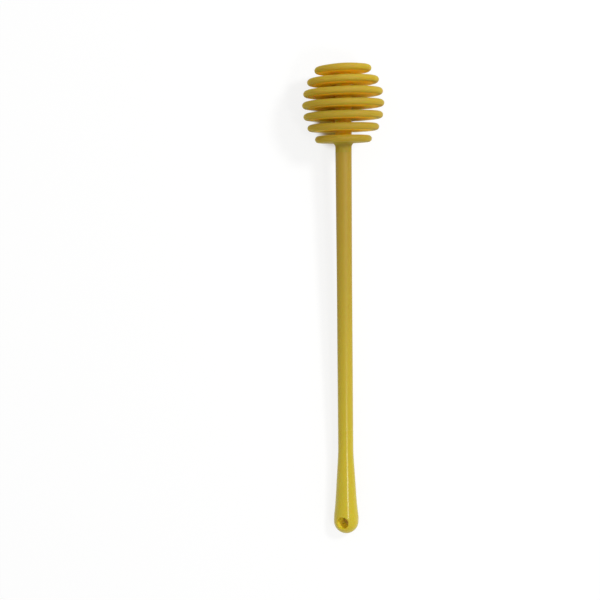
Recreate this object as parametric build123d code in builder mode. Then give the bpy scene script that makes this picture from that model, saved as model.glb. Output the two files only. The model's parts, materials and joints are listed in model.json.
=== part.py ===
from build123d import *
from math import asin, atan2, cos, hypot, pi, radians, sin, sqrt
import os

# Honey dipper, lying on its side the way it rests on a table. Lengths are in millimetres.
# +Y points from the hanging end to the head and +Z is up. The origin is the middle of the
# footprint, on the surface that the dipper lies on.
# A station is a distance along the dipper's own axis, measured from the hanging end.

# Whole dipper
overall_length = 175.0

# Head: a stack of round-edged discs on a thin hub, inside a barrel outline
disc_count = 7
rim_thickness = 2.44
groove_mouth = 1.82
widest_disc_diameter = 30.4
end_disc_diameter = 21.0
crown_rise = 0.9
hub_diameter = 6.1

# The full-round rims and the domed crown are each drawn as a few narrow flats
rim_flat_count = 5
crown_flat_count = 3

# Neck: the short stub of the head that meets the handle
neck_diameter = 5.85
neck_length = 3.6
neck_chamfer = 0.6

# Handle sleeve: a taper, a straight grip, a straight flare and a drop, whose round end runs
# on a little past its widest place
grip_diameter = 5.54
grip_end = 95.0
drop_diameter = 9.2
drop_arc_angle = 100.0
flare_angle = 4.4
drop_blend_radius = 47.0
grip_blend_radius = 65.0

# Hanging hole, turned a little about the dipper's axis as it lies on the table
hole_diameter = 4.4
hole_station = 4.5
hole_edge_chamfer = 0.3
hole_roll = 22.0

# Core: a stiff rod inside the sleeve, whose end stands in a blind bore in the head
core_diameter = 2.5
core_to_hole = 7.0
core_depth_in_head = 12.5
core_end_chamfer = 0.4

# Radii
rim_radius = rim_thickness / 2
hub_radius = hub_diameter / 2
neck_radius = neck_diameter / 2
grip_radius = grip_diameter / 2
drop_radius = drop_diameter / 2
hole_radius = hole_diameter / 2
core_radius = core_diameter / 2

# Discs: evenly spaced, with their rims on one circular arc, the barrel outline
disc_pitch = rim_thickness + groove_mouth
half_stack = disc_pitch * (disc_count - 1) / 2
barrel_sag = (widest_disc_diameter - end_disc_diameter) / 2
barrel_radius = (half_stack**2 + barrel_sag**2) / (2 * barrel_sag)
middle_station = overall_length - crown_rise - rim_radius - half_stack
bottom_station = middle_station - half_stack
disc_stations = [bottom_station + disc_pitch * index for index in range(disc_count)]
joint_station = bottom_station - rim_radius - neck_length


def disc_radius_at(station):
    """Radius of the disc whose middle plane is at this station, from the barrel outline."""
    offset = station - middle_station
    return widest_disc_diameter / 2 - barrel_radius + sqrt(barrel_radius**2 - offset**2)


def rim_corners(station):
    """Corners of a disc's rim, from its face on the handle side to its face on the crown side."""
    flat_depth = rim_radius * cos(pi / (2 * rim_flat_count))
    round_centre = disc_radius_at(station) - flat_depth
    turns = [pi * index / rim_flat_count for index in range(rim_flat_count + 1)]
    return [(station - rim_radius * cos(turn), round_centre + rim_radius * sin(turn)) for turn in turns]


# Crown: the top disc's outer face rises as a shallow dome to a small flat
crown_edge_radius = rim_corners(disc_stations[-1])[-1][1]
crown_shares = [index / crown_flat_count for index in range(crown_flat_count - 1, 0, -1)]
flat_share = crown_shares[-1]
crown_corners = [
    (
        overall_length - crown_rise * (share**2 - flat_share**2) / (1 - flat_share**2),
        crown_edge_radius * share,
    )
    for share in crown_shares
]

# Rest pose: the middle disc's rim and the drop both touch the table, so the head end is higher
resting_station = middle_station - rim_radius * sin(pi / (2 * rim_flat_count))
resting_span = resting_station - drop_radius
slope_to_rim = atan2(widest_disc_diameter / 2, resting_span)
slope_to_table = asin(drop_radius / hypot(resting_span, widest_disc_diameter / 2))
rest_angle = slope_to_rim - slope_to_table
head_reach = max(
    (station - drop_radius) * cos(rest_angle) + radius * sin(rest_angle)
    for station, radius in rim_corners(disc_stations[-1]) + crown_corners
)
drop_centre_y = (drop_radius - head_reach) / 2

# Directions of the dipper's axis and of the hanging hole
roll = radians(hole_roll)
axis_direction = Vector(0, cos(rest_angle), sin(rest_angle))
hole_direction = Vector(-sin(roll), -sin(rest_angle) * cos(roll), cos(rest_angle) * cos(roll))
tail_point = Vector(0, drop_centre_y, drop_radius) - axis_direction * drop_radius
dipper_axis = Axis(tail_point, axis_direction)

# Half-profiles are drawn in one plane, with stations along X and radii along Y
profile_plane = Plane(origin=tail_point, x_dir=axis_direction, z_dir=hole_direction)


def cross_plane(station):
    """Plane across the dipper's axis at a station."""
    centre = tail_point + axis_direction * station
    return Plane(origin=centre, x_dir=hole_direction, z_dir=axis_direction)


# Core rod: chamfered at both ends
core_start = hole_station + hole_radius + core_to_hole
core_end = joint_station + core_depth_in_head

with BuildPart() as core_rod:
    with BuildSketch(cross_plane(core_start)):
        Circle(core_radius)
    extrude(amount=core_end - core_start)
    chamfer(core_rod.edges().filter_by(GeomType.CIRCLE), core_end_chamfer)

# Head: one profile runs up from the neck, round every rim and groove, and over the crown
with BuildPart() as head:
    with BuildSketch(profile_plane):
        with BuildLine():
            bottom_face = bottom_station - rim_radius
            outline = [
                (joint_station, 0),
                (joint_station, neck_radius),
                (bottom_face - neck_chamfer, neck_radius),
                (bottom_face, neck_radius + neck_chamfer),
            ]
            for station in disc_stations[:-1]:
                outline += rim_corners(station)
                outline.append((station + rim_radius, hub_radius))
                outline.append((station + rim_radius + groove_mouth, hub_radius))
            outline += rim_corners(disc_stations[-1])
            outline += crown_corners
            outline.append((overall_length, 0))
            Polyline(*outline, close=True)
        make_face()
    revolve(axis=dipper_axis)
    add(core_rod.part, mode=Mode.SUBTRACT)

# Handle sleeve: arcs and straight runs, each tangent to the one before, from the end to the grip
with BuildPart() as handle_sleeve:
    with BuildSketch(profile_plane):
        with BuildLine():
            drop_arc = JernArc(start=(0, 0), tangent=(0, 1), radius=drop_radius, arc_size=-drop_arc_angle)
            drop_blend = JernArc(
                start=drop_arc @ 1,
                tangent=drop_arc % 1,
                radius=drop_blend_radius,
                arc_size=drop_arc_angle - 90 - flare_angle,
            )
            grip_blend_rise = grip_blend_radius * (1 - cos(radians(flare_angle)))
            flare_drop = (drop_blend @ 1).Y - grip_radius - grip_blend_rise
            flare = PolarLine(
                start=drop_blend @ 1,
                length=flare_drop / sin(radians(flare_angle)),
                angle=-flare_angle,
            )
            grip_blend = JernArc(
                start=flare @ 1,
                tangent=flare % 1,
                radius=grip_blend_radius,
                arc_size=flare_angle,
            )
            Polyline(
                grip_blend @ 1,
                (grip_end, grip_radius),
                (joint_station, neck_radius),
                (joint_station, 0),
                (0, 0),
            )
        make_face()
    revolve(axis=dipper_axis)
    add(core_rod.part, mode=Mode.SUBTRACT)
    hole_centre = tail_point + axis_direction * hole_station
    with BuildSketch(Plane(origin=hole_centre, x_dir=axis_direction, z_dir=hole_direction)):
        Circle(hole_radius)
    extrude(amount=drop_diameter, both=True, mode=Mode.SUBTRACT)
    hole_mouths = handle_sleeve.edges(Select.LAST).filter_by(GeomType.LINE, reverse=True)
    chamfer(hole_mouths, hole_edge_chamfer)

core_rod.part.label = "core_rod"
head.part.label = "head"
handle_sleeve.part.label = "handle_sleeve"

os.makedirs("parts", exist_ok=True)
export_step(core_rod.part, "parts/core_rod.step")
export_step(head.part, "parts/head.step")
export_step(handle_sleeve.part, "parts/handle_sleeve.step")
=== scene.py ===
import json
import math

import bmesh
import bpy
from mathutils import Matrix, Vector


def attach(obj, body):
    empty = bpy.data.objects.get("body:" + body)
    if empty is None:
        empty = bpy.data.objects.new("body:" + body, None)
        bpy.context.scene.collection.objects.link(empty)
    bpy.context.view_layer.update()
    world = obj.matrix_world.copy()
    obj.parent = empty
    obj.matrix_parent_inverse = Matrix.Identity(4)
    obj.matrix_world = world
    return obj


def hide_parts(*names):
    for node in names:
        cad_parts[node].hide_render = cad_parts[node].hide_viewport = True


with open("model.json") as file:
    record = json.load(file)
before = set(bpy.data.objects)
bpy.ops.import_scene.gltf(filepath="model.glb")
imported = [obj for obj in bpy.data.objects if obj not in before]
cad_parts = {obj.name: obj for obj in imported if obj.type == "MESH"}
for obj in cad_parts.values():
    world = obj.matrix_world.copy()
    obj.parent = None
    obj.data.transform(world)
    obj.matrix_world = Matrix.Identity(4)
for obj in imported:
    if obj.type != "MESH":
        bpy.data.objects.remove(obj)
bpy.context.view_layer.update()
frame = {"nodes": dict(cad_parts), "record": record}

# Honey dipper lying on a pale surface, seen from straight above. Lengths are in metres.
# A station is a distance along the dipper's own axis, measured from the hanging end.
MM = 0.001

# Head: discs with full-round rims inside a barrel outline, on a thin hub
disc_count = 7
rim_radius = 1.22 * MM
groove_mouth = 1.82 * MM
widest_disc_radius = 15.16 * MM
end_disc_radius = 10.5 * MM
crown_rise = 0.9 * MM
hub_radius = 3.05 * MM
root_fillet = 0.5 * MM
neck_fillet = 1.8 * MM
overall_length = 175.0 * MM

# The soft discs lean a little, more toward the crown: to the left, and away from the handle on top
lean_across_first = math.radians(0.75)
lean_across_last = math.radians(2.3)
lean_up_first = math.radians(0.9)
lean_up_last = math.radians(2.6)

# Neck, and the fine groove where the head meets the handle
neck_radius = 3.0 * MM
neck_length = 3.6 * MM
seam_bevel = 0.03 * MM
seam_lead = 3 * seam_bevel

# Handle sleeve: the drop's round end, its straight belly, a shoulder, a flare and the grip
grip_radius = 2.85 * MM
grip_end = 95.0 * MM
drop_radius = 4.6 * MM
belly_length = 1.4 * MM
shoulder_radius = 10.0 * MM
shoulder_angle = math.radians(7.0)
drop_blend_radius = 120.0 * MM
flare_angle = math.radians(3.6)
grip_blend_radius = 65.0 * MM

# Hanging hole
hole_radius = 2.2 * MM
hole_station = 4.5 * MM
mouth_round = 0.4 * MM

# Core rod's room inside both mouldings
core_radius = 1.25 * MM
core_start = 13.7 * MM
core_depth_in_head = 12.5 * MM

# Mesh fineness, and how close two points have to be to be joined
weld_distance = 0.0005 * MM
turn_count = 160
rim_steps = 16
root_steps = 5
crown_steps = 24
cap_steps = 36
belly_steps = 4
blend_steps = 6
flare_steps = 8
grip_steps = 14
window_columns = 24
window_margin = 1.0 * MM
patch_steps = 7
mouth_steps = 6
wall_steps = 6

# Silicone: colours in linear light, roughness, and how far warm light reaches inside
# Painted light: the head's rims are painted darker at the lowest disc and lighter toward the crown,
# for how the light falls along the head
crown_end_painted_light_colour = (0.445, 0.322, 0.019)
lowest_disc_painted_shade_colour = (0.37, 0.265, 0.015)
# Painted light: the faces inside the grooves and the hub are painted a bright warm orange, for
# light bounced between the discs and shining through them
painted_groove_glow_colour = (0.98, 0.69, 0.05)
painted_hub_glow_colour = (0.80, 0.56, 0.035)
# Painted light and shade: the handle is painted darker at the neck and lighter and yellower toward
# the hanging end, for how the light falls along it
neck_end_painted_shade_colour = (0.37, 0.24, 0.012)
tail_end_painted_light_colour = (0.53, 0.42, 0.018)
# Painted light: the hanging hole's wall is painted a bright glow
painted_hole_glow_colour = (0.95, 0.80, 0.05)
head_roughness = 0.65
neck_end_roughness = 0.52
tail_end_roughness = 0.22
silicone_gloss = 0.35
glow_spread = (1.0, 0.5, 0.1)
head_glow_share = 1.0
head_glow_reach = 3.0 * MM
handle_glow_share = 0.35
handle_glow_reach = 1.2 * MM

# Depths below the barrel outline between which a groove takes on its painted glow colour, and
# the stations between which the handle turns from glossy to dull
groove_depth_start = 0.75 * MM
groove_depth_end = 3.5 * MM
gloss_start = 20.0 * MM
gloss_end = 90.0 * MM

# Moulded grain: a broad mottle of the colour and a fine relief
cloud_scale = 120.0
cloud_detail = 3.0
head_mottle = 0.12
handle_mottle = 0.06
grit_scale = 2600.0
grit_detail = 2.0
head_relief = 0.03 * MM
handle_relief = 0.006 * MM

# Core rod's steel
steel_colour = (0.6, 0.6, 0.58)
steel_roughness = 0.35

# Floor: nearly plain white in the picture, with a painted warm oval shadow under the head and a
# painted warm spot of shade under the hanging hole
white = (1.0, 1.0, 1.0)
floor_width = 3.0
floor_colour = (0.93, 0.93, 0.925)
floor_roughness = 0.6
white_share = 0.8
shade_to_left = 3.5 * MM
shade_half_width = 7.0 * MM
shade_half_length = 13.0 * MM
shade_blur = 0.25
# Painted shadow: warm brown colours painted on the floor under the head and under the hanging hole
painted_head_shadow_colour = (0.52, 0.34, 0.07)
painted_hole_shadow_colour = (0.85, 0.55, 0.09)

# Camera: straight overhead, turned a little. The lens and the sensor are in millimetres
camera_place = (-0.0166, 0.0003, 0.6055)
camera_roll = math.radians(-0.54)
camera_lens = 96.0
camera_sensor_width = 36.0

# Lamps and sky: the key light stands to the right and beyond the crown, so that the discs'
# near faces are in shade. A small lamp toward the hanging end draws the thin line of light
# on the handle
lamp_aim = (0.0, -0.02, 0.0)
key_place = (0.34, 0.22, 0.6)
key_width = 0.13
key_power = 2.45
glint_place = (0.22, -0.16, 0.67)
glint_width = 0.09
glint_power = 0.75
sky_strength = 0.62

# Derived sizes, and places along the axis
mouth_radius = hole_radius + mouth_round
disc_pitch = 2 * rim_radius + groove_mouth
half_stack = disc_pitch * (disc_count - 1) / 2
middle_station = overall_length - crown_rise - rim_radius - half_stack
first_station = middle_station - half_stack
last_station = middle_station + half_stack
joint_station = first_station - rim_radius - neck_length
barrel_sag = widest_disc_radius - end_disc_radius
barrel_radius = (half_stack**2 + barrel_sag**2) / (2 * barrel_sag)

# The part's own frame: the hanging hole's mount gives the tail's place and the axis
hole_mount = frame["record"]["mounts"][0]
hole_direction = Vector(hole_mount["axis"]).normalized()
axis_direction = Vector((0.0, hole_direction.z, -hole_direction.y)).normalized()
side_direction = axis_direction.cross(hole_direction)
tail_point = Vector(hole_mount["pos_m"]) - axis_direction * hole_station
part_turn = Matrix((side_direction, axis_direction, hole_direction)).transposed()
part_matrix = Matrix.Translation(tail_point) @ part_turn.to_4x4()
head_middle = tail_point + axis_direction * middle_station


def new_material(name):
    """A node material with one Principled shader, and that shader's node."""
    material = bpy.data.materials.new(name)
    material.use_nodes = True
    return material, material.node_tree.nodes["Principled BSDF"]


def feed(tree, value, slot):
    """Links a socket to a node's input, or sets the input to a plain value."""
    if isinstance(value, bpy.types.NodeSocket):
        tree.links.new(value, slot)
    else:
        slot.default_value = value


class Term:
    """A number inside a node tree that ordinary sums can be written with."""

    def __init__(self, tree, socket):
        self.tree = tree
        self.socket = socket

    def combine(self, operation, *others):
        """A sum of this number and others, by the name of its operation."""
        node = self.tree.nodes.new("ShaderNodeMath")
        node.operation = operation
        for value, slot in zip((self, *others), node.inputs):
            feed(self.tree, value.socket if isinstance(value, Term) else value, slot)
        return Term(self.tree, node.outputs[0])

    def __add__(self, other):
        return self.combine("ADD", other)

    def __sub__(self, other):
        return self.combine("SUBTRACT", other)

    def __mul__(self, other):
        return self.combine("MULTIPLY", other)

    def __truediv__(self, other):
        return self.combine("DIVIDE", other)

    def below(self, other):
        return self.combine("LESS_THAN", other)

    def sine(self):
        return self.combine("SINE")

    def cosine(self):
        return self.combine("COSINE")

    def root(self):
        return self.combine("SQRT")

    def floor(self):
        return self.combine("FLOOR")

    def clamped(self):
        """The same number held between 0 and 1."""
        return self.combine("MAXIMUM", 0.0).combine("MINIMUM", 1.0)

    def choose(self, if_one, if_zero):
        """if_one where this is 1, and if_zero where it is 0."""
        return self * (if_one - if_zero) + if_zero


def vector_sum(tree, operation, first, second=None):
    """A vector sum inside a node tree, by the name of its operation."""
    node = tree.nodes.new("ShaderNodeVectorMath")
    node.operation = operation
    feed(tree, first, node.inputs[0])
    if second is not None:
        feed(tree, second, node.inputs[1])
    return node


def new_group(name, inputs, outputs):
    """An empty shader node group with named sockets, and its two end nodes."""
    group = bpy.data.node_groups.new(name, "ShaderNodeTree")
    for title, kind in inputs:
        group.interface.new_socket(title, in_out="INPUT", socket_type="NodeSocket" + kind)
    for title, kind in outputs:
        group.interface.new_socket(title, in_out="OUTPUT", socket_type="NodeSocket" + kind)
    return group, group.nodes.new("NodeGroupInput"), group.nodes.new("NodeGroupOutput")


def place_by_line_group():
    """How far a point is along a line, and how far away from it."""
    group, given, result = new_group(
        "place by line",
        (("Coordinates", "Vector"), ("Point", "Vector"), ("Direction", "Vector")),
        (("Along", "Float"), ("Away", "Float")),
    )
    arm = vector_sum(group, "SUBTRACT", given.outputs["Coordinates"], given.outputs["Point"])
    along = vector_sum(group, "DOT_PRODUCT", arm.outputs["Vector"], given.outputs["Direction"])
    across = vector_sum(group, "CROSS_PRODUCT", arm.outputs["Vector"], given.outputs["Direction"])
    away = vector_sum(group, "LENGTH", across.outputs["Vector"])
    group.links.new(along.outputs["Value"], result.inputs["Along"])
    group.links.new(away.outputs["Value"], result.inputs["Away"])
    return group


def smooth_share(tree, socket, low, high):
    """A smooth step of a value, from 0 at low to 1 at high."""
    step = tree.nodes.new("ShaderNodeMapRange")
    step.interpolation_type = "SMOOTHSTEP"
    step.inputs["From Min"].default_value = low
    step.inputs["From Max"].default_value = high
    tree.links.new(socket, step.inputs["Value"])
    return step.outputs["Result"]


def grain_group():
    """Moulded silicone's fine grain: a faint mottle of a colour, and a very shallow relief."""
    group, given, result = new_group(
        "silicone grain",
        (("Coordinates", "Vector"), ("Colour", "Color"), ("Mottle", "Float"), ("Relief", "Float")),
        (("Colour", "Color"), ("Normal", "Vector")),
    )
    cloud = group.nodes.new("ShaderNodeTexNoise")
    cloud.inputs["Scale"].default_value = cloud_scale
    cloud.inputs["Detail"].default_value = cloud_detail
    group.links.new(given.outputs["Coordinates"], cloud.inputs["Vector"])
    # The noise lies around a half, so the colour is multiplied by a number around one
    mottle = Term(group, given.outputs["Mottle"])
    strength = (Term(group, cloud.outputs["Fac"]) - 0.5) * mottle + 1.0
    tint = vector_sum(group, "SCALE", given.outputs["Colour"])
    group.links.new(strength.socket, tint.inputs["Scale"])
    grit = group.nodes.new("ShaderNodeTexNoise")
    grit.inputs["Scale"].default_value = grit_scale
    grit.inputs["Detail"].default_value = grit_detail
    group.links.new(given.outputs["Coordinates"], grit.inputs["Vector"])
    relief = group.nodes.new("ShaderNodeBump")
    group.links.new(grit.outputs["Fac"], relief.inputs["Height"])
    group.links.new(given.outputs["Relief"], relief.inputs["Distance"])
    group.links.new(tint.outputs["Vector"], result.inputs["Colour"])
    group.links.new(relief.outputs["Normal"], result.inputs["Normal"])
    return group


def add_group(tree, group, **values):
    """A group node in a tree, with its inputs linked or set."""
    node = tree.nodes.new("ShaderNodeGroup")
    node.node_tree = group
    for title, value in values.items():
        feed(tree, value, node.inputs[title])
    return node


def blend(tree, share, first, second):
    """A colour between two colours: the first where the share is 0, the second where it is 1."""
    mix = tree.nodes.new("ShaderNodeMix")
    mix.data_type = "RGBA"
    tree.links.new(share, mix.inputs["Factor"])
    # A Mix node keeps its two colour inputs in places 6 and 7, and its colour output in place 2
    for colour, slot in ((first, mix.inputs[6]), (second, mix.inputs[7])):
        feed(tree, colour if isinstance(colour, bpy.types.NodeSocket) else (*colour, 1.0), slot)
    return mix.outputs[2]


def silicone_shader(name, glow_share, glow_reach):
    """Golden silicone that warm light passes a short way into, and its object coordinates."""
    material, shader = new_material(name)
    shader.inputs["Subsurface Weight"].default_value = glow_share
    shader.inputs["Subsurface Radius"].default_value = glow_spread
    shader.inputs["Subsurface Scale"].default_value = glow_reach
    shader.inputs["Specular IOR Level"].default_value = silicone_gloss
    coordinates = material.node_tree.nodes.new("ShaderNodeTexCoord").outputs["Object"]
    return material, shader, coordinates


place_group = place_by_line_group()
silicone_grain = grain_group()


def place_by_axis(tree, coordinates):
    """Station and distance from the dipper's axis."""
    return add_group(
        tree, place_group, Coordinates=coordinates, Point=tail_point, Direction=axis_direction
    )


def place_by_hole(tree, coordinates):
    """Place along the hanging hole and distance from its middle line."""
    point = hole_mount["pos_m"]
    return add_group(
        tree, place_group, Coordinates=coordinates, Point=point, Direction=hole_direction
    )


def add_grain(tree, shader, coordinates, colour, mottle, relief):
    """Gives a shader its colour and its surface, both with the moulded grain."""
    grain = add_group(
        tree, silicone_grain, Coordinates=coordinates, Colour=colour, Mottle=mottle, Relief=relief
    )
    tree.links.new(grain.outputs["Colour"], shader.inputs["Base Color"])
    tree.links.new(grain.outputs["Normal"], shader.inputs["Normal"])


def head_silicone():
    """Matt golden silicone, with a painted warm glow of bounced light inside the grooves and on the
    hub, and painted light that lightens the rims toward the crown.
    """
    material, shader, coordinates = silicone_shader(
        "head silicone", head_glow_share, head_glow_reach
    )
    tree = material.node_tree
    by_axis = place_by_axis(tree, coordinates)
    # The barrel outline's radius at this station, less the distance from the axis, is the depth
    station = Term(tree, by_axis.outputs["Along"])
    offset = station - middle_station
    outline = (offset * offset * -1.0 + barrel_radius**2).combine("MAXIMUM", 0.0).root()
    depth = outline + (widest_disc_radius - barrel_radius) - Term(tree, by_axis.outputs["Away"])
    # Painted light: deep in the grooves the colour turns to a painted warm glow
    in_groove = smooth_share(tree, depth.socket, groove_depth_start, groove_depth_end)
    above_neck = smooth_share(tree, station.socket, first_station, first_station + rim_radius)
    below_crown = smooth_share(
        tree, station.socket, last_station + rim_radius / 2, last_station - rim_radius / 2
    )
    between_ends = Term(tree, above_neck) * Term(tree, below_crown)
    share = Term(tree, in_groove) * between_ends
    # Painted light: the rims are painted lighter from the lowest disc toward the crown
    toward_crown = smooth_share(tree, station.socket, first_station, last_station)
    rim_colour_with_painted_light = blend(tree, toward_crown, lowest_disc_painted_shade_colour, crown_end_painted_light_colour)
    colour = blend(tree, share.socket, rim_colour_with_painted_light, painted_groove_glow_colour)
    # Painted light: the hub is painted a warm orange glow, for light bounced inside the grooves
    at_hub = smooth_share(tree, by_axis.outputs["Away"], hub_radius + 2 * root_fillet, hub_radius)
    share = Term(tree, at_hub) * between_ends
    colour = blend(tree, share.socket, colour, painted_hub_glow_colour)
    add_grain(tree, shader, coordinates, colour, head_mottle, head_relief)
    shader.inputs["Roughness"].default_value = head_roughness
    return material


def handle_silicone():
    """Semi-gloss golden silicone, smoother toward the hanging end, with painted light that makes it
    lighter and yellower there, painted shade toward the neck, and a painted glow inside the hole.
    """
    material, shader, coordinates = silicone_shader(
        "handle silicone", handle_glow_share, handle_glow_reach
    )
    tree = material.node_tree
    by_axis = place_by_axis(tree, coordinates)
    # Painted light and shade: darker toward the neck, lighter toward the hanging end
    toward_neck = smooth_share(tree, by_axis.outputs["Along"], 0.0, joint_station)
    colour = blend(tree, toward_neck, tail_end_painted_light_colour, neck_end_painted_shade_colour)
    by_hole = place_by_hole(tree, coordinates)
    # Painted light: the hole's wall is painted lightest deep inside, for light that comes through
    # the silicone
    in_hole = smooth_share(tree, by_hole.outputs["Away"], mouth_radius, hole_radius)
    inside = smooth_share(tree, by_axis.outputs["Away"], drop_radius, drop_radius / 2)
    share = Term(tree, in_hole) * Term(tree, inside)
    colour = blend(tree, share.socket, colour, painted_hole_glow_colour)
    add_grain(tree, shader, coordinates, colour, handle_mottle, handle_relief)
    dulled = Term(tree, smooth_share(tree, by_axis.outputs["Along"], gloss_start, gloss_end))
    roughness = dulled * (neck_end_roughness - tail_end_roughness) + tail_end_roughness
    tree.links.new(roughness.socket, shader.inputs["Roughness"])
    return material


head_material = head_silicone()
handle_material = handle_silicone()
steel_material, steel_shader = new_material("core steel")
steel_shader.inputs["Base Color"].default_value = (*steel_colour, 1.0)
steel_shader.inputs["Metallic"].default_value = 1.0
steel_shader.inputs["Roughness"].default_value = steel_roughness


def disc_stack_tree():
    """Node tree that turns a grid into the head, and the sizes to run it with.

    The grid's rows run along the head's profile, and its columns round the axis.
    """
    tree = bpy.data.node_groups.new("disc stack", "GeometryNodeTree")
    sizes = {
        "disc count": disc_count,
        "pitch": disc_pitch,
        "first station": first_station,
        "middle station": middle_station,
        "rim radius": rim_radius,
        "widest disc radius": widest_disc_radius,
        "barrel radius": barrel_radius,
        "hub radius": hub_radius,
        "root fillet": root_fillet,
        "neck fillet": neck_fillet,
        "neck radius": neck_radius,
        "joint station": joint_station,
        "seam bevel": seam_bevel,
        "seam lead": seam_lead,
        "crown rise": crown_rise,
        "core radius": core_radius,
        "core end": joint_station + core_depth_in_head,
        "lean across at first disc": math.tan(lean_across_first),
        "lean across at last disc": math.tan(lean_across_last),
        "lean up at first disc": math.tan(lean_up_first),
        "lean up at last disc": math.tan(lean_up_last),
    }
    tree.interface.new_socket("Geometry", in_out="OUTPUT", socket_type="NodeSocketGeometry")
    for name in sizes:
        tree.interface.new_socket(name, in_out="INPUT", socket_type="NodeSocketFloat")
    tree.interface.new_socket("material", in_out="INPUT", socket_type="NodeSocketMaterial")
    given = tree.nodes.new("NodeGroupInput")
    result = tree.nodes.new("NodeGroupOutput")
    size = {name: Term(tree, given.outputs[name]) for name in sizes}

    # Rows: the core's room and the joint, then each disc's arcs, then the crown, which takes
    # the place of the last disc's far fillet
    start_rows = 6
    rows_per_disc = 2 * (root_steps + 1) + rim_steps + 1
    row_count = start_rows + disc_count * rows_per_disc - (root_steps + 1) + crown_steps

    grid = tree.nodes.new("GeometryNodeMeshGrid")
    grid.inputs["Vertices X"].default_value = turn_count + 1
    grid.inputs["Vertices Y"].default_value = row_count
    index = Term(tree, tree.nodes.new("GeometryNodeInputIndex").outputs[0])
    column = (index / float(row_count)).floor()
    row = index - column * float(row_count)
    turn = column * (2 * math.pi / turn_count)

    # Which disc a row belongs to, and which step of that disc's profile it is
    disc_row = row - float(start_rows)
    disc = (disc_row / float(rows_per_disc)).floor().combine("MAXIMUM", 0.0)
    disc = disc.combine("MINIMUM", size["disc count"] - 1.0)
    step = disc_row - disc * float(rows_per_disc)
    station = size["first station"] + disc * size["pitch"]
    offset = station - size["middle station"]
    barrel_square = size["barrel radius"] * size["barrel radius"] - offset * offset
    disc_radius = size["widest disc radius"] - size["barrel radius"] + barrel_square.root()

    # Root fillets and rim are arcs: each has a centre, a radius and a turn
    is_first = disc.below(0.5)
    floor_radius = is_first.choose(size["neck radius"], size["hub radius"])
    near_fillet = is_first.choose(size["neck fillet"], size["root fillet"])
    near_turn = (step / float(root_steps)) * (math.pi / 2) - math.pi / 2
    near_station = station - size["rim radius"] - near_fillet + near_fillet * near_turn.cosine()
    near_radius = floor_radius + near_fillet + near_fillet * near_turn.sine()
    rim_step = step - float(root_steps + 1)
    rim_turn = rim_step * (-math.pi / rim_steps) + math.pi
    rim_station = station + size["rim radius"] * rim_turn.cosine()
    rim_height = disc_radius - size["rim radius"] + size["rim radius"] * rim_turn.sine()
    far_step = step - float(root_steps + rim_steps + 2)
    far_turn = (far_step / float(root_steps)) * (math.pi / 2) + math.pi
    far_centre = station + size["rim radius"] + size["root fillet"]
    far_station = far_centre + size["root fillet"] * far_turn.cosine()
    far_radius = size["hub radius"] + size["root fillet"] + size["root fillet"] * far_turn.sine()

    # Crown: a shallow dome from the top of the last disc's rim to the axis
    crown_share = ((far_step + 1.0) / float(crown_steps)).clamped()
    crown_edge = disc_radius - size["rim radius"]
    crown_radius = crown_edge * (crown_share * -1.0 + 1.0)
    crown_fall = crown_radius / crown_edge
    crown_top = station + size["rim radius"] + size["crown rise"]
    crown_station = crown_top - size["crown rise"] * crown_fall * crown_fall

    # Steps and discs are whole numbers, so each limit lies half way between two of them
    in_near = step.below(root_steps + 0.5)
    in_rim = step.below(root_steps + rim_steps + 1.5)
    is_last = (size["disc count"] - 1.5).below(disc)
    top_station = is_last.choose(crown_station, far_station)
    top_radius = is_last.choose(crown_radius, far_radius)
    disc_station = in_near.choose(near_station, in_rim.choose(rim_station, top_station))
    disc_height = in_near.choose(near_radius, in_rim.choose(rim_height, top_radius))

    # Each disc leans as a whole: its points move along the axis by their place to the side
    # and above
    disc_share = disc / (size["disc count"] - 1.0)
    across_first = size["lean across at first disc"]
    across = across_first + (size["lean across at last disc"] - across_first) * disc_share
    up_first = size["lean up at first disc"]
    up = up_first + (size["lean up at last disc"] - up_first) * disc_share
    lean_by_side = across * side_direction.x + up * side_direction.z
    lean_by_hole = across * hole_direction.x + up * hole_direction.z
    lean = lean_by_side * turn.sine() + lean_by_hole * turn.cosine()
    disc_station = disc_station + disc_height * lean

    # The first rows close the room for the core rod and make the joint's bevel
    bevel = size["seam bevel"]
    starts = (
        (size["core end"], size["core radius"] * 0.0),
        (size["core end"], size["core radius"]),
        (size["joint station"], size["core radius"]),
        (size["joint station"], size["neck radius"] - bevel),
        (size["joint station"] + bevel, size["neck radius"]),
        (size["joint station"] + size["seam lead"], size["neck radius"]),
    )
    for number, (start_station, start_radius) in reversed(list(enumerate(starts))):
        here = row.below(number + 0.5)
        disc_station = here.choose(start_station, disc_station)
        disc_height = here.choose(start_radius, disc_height)

    place = tree.nodes.new("ShaderNodeCombineXYZ")
    tree.links.new((disc_height * turn.sine()).socket, place.inputs["X"])
    tree.links.new(disc_station.socket, place.inputs["Y"])
    tree.links.new((disc_height * turn.cosine()).socket, place.inputs["Z"])
    shape = tree.nodes.new("GeometryNodeSetPosition")
    tree.links.new(grid.outputs["Mesh"], shape.inputs["Geometry"])
    tree.links.new(place.outputs[0], shape.inputs["Position"])
    joined = tree.nodes.new("GeometryNodeMergeByDistance")
    joined.inputs["Distance"].default_value = weld_distance
    tree.links.new(shape.outputs["Geometry"], joined.inputs["Geometry"])
    smooth = tree.nodes.new("GeometryNodeSetShadeSmooth")
    tree.links.new(joined.outputs["Geometry"], smooth.inputs["Geometry"])
    whole = tree.nodes.new("GeometryNodeRealizeInstances")
    tree.links.new(smooth.outputs["Geometry"], whole.inputs["Geometry"])
    coat = tree.nodes.new("GeometryNodeSetMaterial")
    tree.links.new(whole.outputs["Geometry"], coat.inputs["Geometry"])
    tree.links.new(given.outputs["material"], coat.inputs["Material"])
    tree.links.new(coat.outputs["Geometry"], result.inputs["Geometry"])
    return tree, sizes


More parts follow.
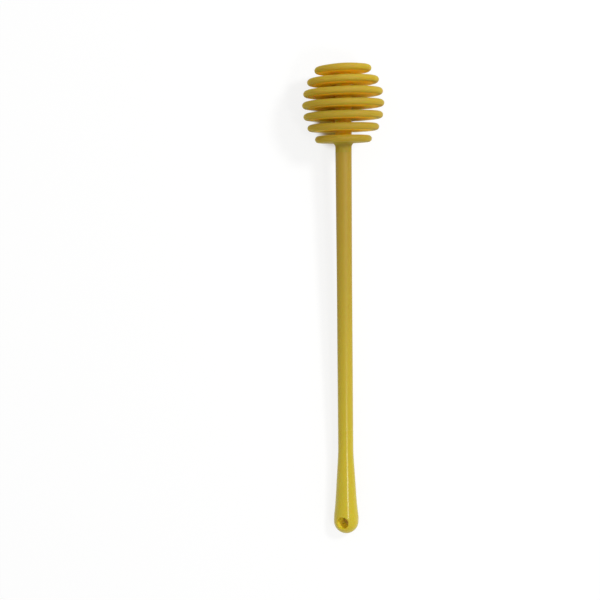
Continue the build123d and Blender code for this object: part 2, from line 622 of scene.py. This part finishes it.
def plain_mesh(name, tree, sizes, material):
    """Runs a node tree on an empty mesh, and gives its result as a plain mesh."""
    carrier = bpy.data.objects.new(name + " carrier", bpy.data.meshes.new(name + " carrier"))
    bpy.context.scene.collection.objects.link(carrier)
    modifier = carrier.modifiers.new(name, "NODES")
    modifier.node_group = tree
    for item in tree.interface.items_tree:
        if item.in_out == "INPUT":
            is_material = item.name == "material"
            modifier[item.identifier] = material if is_material else float(sizes[item.name])
    depsgraph = bpy.context.evaluated_depsgraph_get()
    mesh = bpy.data.meshes.new_from_object(carrier.evaluated_get(depsgraph))
    carrier.modifiers.remove(modifier)
    bpy.data.objects.remove(carrier)
    mesh.name = name
    return mesh


def settle(name, mesh, node):
    """Puts a mesh in the part's frame as a closed piece that stands for a node of the CAD."""
    mesh.transform(part_matrix)
    work = bmesh.new()
    work.from_mesh(mesh)
    bmesh.ops.remove_doubles(work, verts=work.verts, dist=weld_distance)
    bmesh.ops.recalc_face_normals(work, faces=work.faces)
    work.to_mesh(mesh)
    work.free()
    piece = bpy.data.objects.new(name, mesh)
    bpy.context.scene.collection.objects.link(piece)
    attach(piece, "root")
    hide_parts(node)


def arc_points(start, heading, radius, sweep, steps):
    """Points of an arc after its start, and its heading at the end. A positive sweep turns left."""
    side = math.copysign(1.0, sweep)
    centre_station = start[0] - side * radius * math.sin(heading)
    centre_radius = start[1] + side * radius * math.cos(heading)
    headings = [heading + sweep * step / steps for step in range(1, steps + 1)]
    reach = side * radius
    points = [
        (centre_station + reach * math.sin(turned), centre_radius - reach * math.cos(turned))
        for turned in headings
    ]
    return points, heading + sweep


def line_points(start, end, steps):
    """Evenly spaced points on a straight line, after its start."""
    run, rise = end[0] - start[0], end[1] - start[1]
    return [
        (start[0] + run * step / steps, start[1] + rise * step / steps)
        for step in range(1, steps + 1)
    ]


def sleeve_profile():
    """(station, radius) points of the handle's outside, from the hanging end to the joint."""
    points = [(0.0, 0.0)]
    cap, heading = arc_points(points[0], math.pi / 2, drop_radius, -math.pi / 2, cap_steps)
    points += cap
    points += line_points(points[-1], (drop_radius + belly_length, drop_radius), belly_steps)
    for radius, sweep in (
        (shoulder_radius, -shoulder_angle),
        (drop_blend_radius, shoulder_angle - flare_angle),
    ):
        curve, heading = arc_points(points[-1], heading, radius, sweep, blend_steps)
        points += curve
    flare_fall = points[-1][1] - grip_radius - grip_blend_radius * (1 - math.cos(flare_angle))
    flare_end = (points[-1][0] + flare_fall / math.tan(flare_angle), points[-1][1] - flare_fall)
    points += line_points(points[-1], flare_end, flare_steps)
    curve, heading = arc_points(points[-1], heading, grip_blend_radius, flare_angle, blend_steps)
    points += curve
    points += line_points(points[-1], (grip_end, grip_radius), grip_steps)
    points += line_points(points[-1], (joint_station - seam_lead, neck_radius), grip_steps)
    return points


def radius_at(profile, station):
    """Outside radius at a station: on the drop's true arc, or between the profile's points."""
    if station < profile[cap_steps][0]:
        return math.sqrt(drop_radius**2 - (station - drop_radius) ** 2)
    for (low, low_radius), (high, high_radius) in zip(profile, profile[1:]):
        if low <= station <= high:
            share = (station - low) / (high - low)
            return low_radius + (high_radius - low_radius) * share
    return profile[-1][1]


class Skin:
    """Collects the points and faces of one closed mesh."""

    def __init__(self):
        self.points = []
        self.faces = []

    def strip(self, rows):
        """Faces between neighbouring rows of points, all of one length."""
        for near, far in zip(rows, rows[1:]):
            base = len(self.points)
            count = len(near)
            self.points += near + far
            for low in range(base, base + count - 1):
                self.faces.append((low, low + 1, low + count + 1, low + count))

    def mesh(self, name, material):
        """The skin as a smooth mesh in one material."""
        mesh = bpy.data.meshes.new(name)
        mesh.from_pydata(self.points, [], self.faces)
        mesh.materials.append(material)
        mesh.shade_smooth()
        return mesh


def ring_point(station, radius, column):
    """Point on a surface of revolution: the hole's direction is column 0."""
    turn = 2 * math.pi * column / turn_count
    return (radius * math.sin(turn), station, radius * math.cos(turn))


def window_border(profile, first_row, last_row):
    """Points in order round the patch that holds a mouth of the hole, as (station, sideways)."""
    columns = range(-window_columns, window_columns)
    rows = range(first_row, last_row)
    low = [(profile[first_row], column) for column in columns]
    right = [(profile[row], window_columns) for row in rows]
    high = [(profile[last_row], -column) for column in columns]
    left = [(profile[first_row + last_row - row], -window_columns) for row in rows]
    border = []
    for (station, radius), column in low + right + high + left:
        border.append((station, radius * math.sin(2 * math.pi * column / turn_count)))
    return border + border[:1]


def mouth_rows(profile, border):
    """Rows of points from the patch's border to the mouth, round its edge and half way down."""
    turns = [math.atan2(sideways, station - hole_station) for station, sideways in border]

    def surface(station, sideways):
        """Height of the drop's outside above the axis."""
        return math.sqrt(radius_at(profile, station) ** 2 - sideways**2)

    rows = []
    for step in range(patch_steps + 1):
        share = step / patch_steps
        row = []
        for (station, sideways), turn in zip(border, turns):
            inner_station = hole_station + mouth_radius * math.cos(turn)
            inner_sideways = mouth_radius * math.sin(turn)
            here_station = station + (inner_station - station) * share
            here_sideways = sideways + (inner_sideways - sideways) * share
            row.append((here_sideways, here_station, surface(here_station, here_sideways)))
        rows.append(row)
    # The mouth's rounded edge is a curve from the outside to the wall, drawn toward their corner
    for step in range(1, mouth_steps + 1):
        share = step / mouth_steps
        reach = mouth_radius + (hole_radius - mouth_radius) * (2 * share - share**2)
        row = []
        for turn in turns:
            along, sideways = math.cos(turn), math.sin(turn)
            outer = surface(hole_station + mouth_radius * along, mouth_radius * sideways)
            corner = surface(hole_station + hole_radius * along, hole_radius * sideways)
            height = (1 - share) ** 2 * outer + 2 * share * (1 - share) * corner
            height += share**2 * (corner - mouth_round)
            row.append((reach * sideways, hole_station + reach * along, height))
        rows.append(row)
    wall_top = rows[-1]
    for step in range(1, wall_steps + 1):
        share = 1 - step / wall_steps
        rows.append([(sideways, station, height * share) for sideways, station, height in wall_top])
    return rows


def sleeve_mesh():
    """The handle: a surface of revolution, with the hanging hole let in through two patches."""
    profile = sleeve_profile()
    reach = mouth_radius + window_margin
    offsets = [abs(station - hole_station) for station, radius in profile]
    inside = [row for row, offset in enumerate(offsets) if offset < reach]
    first_row, last_row = inside[0], inside[-1]
    skin = Skin()
    whole_turn = range(turn_count + 1)
    joint_rows = [
        (joint_station - seam_bevel, neck_radius),
        (joint_station, neck_radius - seam_bevel),
        (joint_station, core_radius),
        (core_start, core_radius),
        (core_start, 0.0),
    ]
    for part in (profile[: first_row + 1], profile[last_row:] + joint_rows):
        skin.strip([[ring_point(*place, column) for column in whole_turn] for place in part])
    half_turn = turn_count // 2
    for start in (window_columns, half_turn + window_columns):
        flank = range(start, start + half_turn - 2 * window_columns + 1)
        rows = profile[first_row : last_row + 1]
        skin.strip([[ring_point(*place, column) for column in flank] for place in rows])
    rows = mouth_rows(profile, window_border(profile, first_row, last_row))
    skin.strip(rows)
    far_rows = [
        [(sideways, station, -height) for sideways, station, height in row] for row in rows
    ]
    skin.strip(far_rows)
    return skin.mesh("honey_handle", handle_material)


stack_tree, stack_sizes = disc_stack_tree()
head_mesh = plain_mesh("honey_head", stack_tree, stack_sizes, head_material)
settle("honey_head", head_mesh, "head")
settle("honey_handle", sleeve_mesh(), "handle_sleeve")

# The core rod is hidden inside, so it keeps the CAD's own shape
core_piece = frame["nodes"]["core_rod"]
core_piece.data.materials.clear()
core_piece.data.materials.append(steel_material)


def whiten_floor(material, shader):
    """Shows the floor nearly plain white to the camera and in reflections.

    The painted warm shadow under the head and under the hanging hole is left out of the white.
    """
    tree = material.node_tree
    ray = tree.nodes.new("ShaderNodeLightPath")
    seen = Term(tree, ray.outputs["Is Camera Ray"])
    for output in ("Is Glossy Ray", "Is Transmission Ray"):
        seen = seen.combine("MAXIMUM", Term(tree, ray.outputs[output]))
    coordinates = tree.nodes.new("ShaderNodeTexCoord").outputs["Object"]
    # Distance from the middle of the oval shade: 1 is its edge
    shade_middle = (-shade_to_left, head_middle.y, 0.0)
    shade_size = (shade_half_width, shade_half_length, 1.0)
    arm = vector_sum(tree, "SUBTRACT", coordinates, shade_middle)
    share_of_size = vector_sum(tree, "DIVIDE", arm.outputs["Vector"], shade_size)
    distance = vector_sum(tree, "LENGTH", share_of_size.outputs["Vector"])
    past_head = smooth_share(tree, distance.outputs["Value"], 1.0 - shade_blur, 1.0 + shade_blur)
    by_hole = place_by_hole(tree, coordinates)
    past_hole = smooth_share(
        tree, by_hole.outputs["Away"], mouth_radius, mouth_radius + mouth_round
    )
    share = seen * Term(tree, past_head) * Term(tree, past_hole) * white_share
    plain_white = tree.nodes.new("ShaderNodeEmission")
    plain_white.inputs["Color"].default_value = (*white, 1.0)
    plain_white.inputs["Strength"].default_value = 1.0
    mix = tree.nodes.new("ShaderNodeMixShader")
    tree.links.new(share.socket, mix.inputs[0])
    tree.links.new(shader.outputs[0], mix.inputs[1])
    tree.links.new(plain_white.outputs[0], mix.inputs[2])
    tree.links.new(mix.outputs[0], tree.nodes["Material Output"].inputs["Surface"])
    # Painted shadow: the floor is painted a warm brown under the head and under the hanging hole,
    # for shadow lit by light that has come through the silicone
    colour = blend(tree, past_head, painted_head_shadow_colour, floor_colour)
    colour = blend(tree, past_hole, painted_hole_shadow_colour, colour)
    tree.links.new(colour, shader.inputs["Base Color"])


# Camera
camera_data = bpy.data.cameras.new("camera")
camera_data.lens = camera_lens
camera_data.sensor_width = camera_sensor_width
camera = bpy.data.objects.new("camera", camera_data)
camera.location = camera_place
camera.rotation_euler = (0.0, 0.0, camera_roll)
bpy.context.scene.collection.objects.link(camera)
bpy.context.scene.camera = camera

# Floor
bpy.ops.mesh.primitive_plane_add(size=floor_width, location=(0.0, 0.0, 0.0))
floor = bpy.context.object
floor.name = "floor"
floor_material, floor_shader = new_material("pale floor")
floor_shader.inputs["Roughness"].default_value = floor_roughness
floor.data.materials.append(floor_material)
whiten_floor(floor_material, floor_shader)


def add_lamp(name, place, width, power):
    """A round lamp that shines at the dipper."""
    data = bpy.data.lights.new(name, "AREA")
    data.shape = "DISK"
    data.size = width
    data.energy = power
    lamp = bpy.data.objects.new(name, data)
    lamp.location = place
    lamp.rotation_euler = (Vector(lamp_aim) - Vector(place)).to_track_quat("-Z", "Y").to_euler()
    bpy.context.scene.collection.objects.link(lamp)


# Lamps
add_lamp("key light", key_place, key_width, key_power)
add_lamp("glint light", glint_place, glint_width, glint_power)

# Sky
world = bpy.data.worlds.new("studio sky")
bpy.context.scene.world = world
world.use_nodes = True
sky = world.node_tree.nodes["Background"]
sky.inputs["Color"].default_value = (*white, 1.0)
sky.inputs["Strength"].default_value = sky_strength

bpy.context.scene.view_settings.view_transform = "Standard"
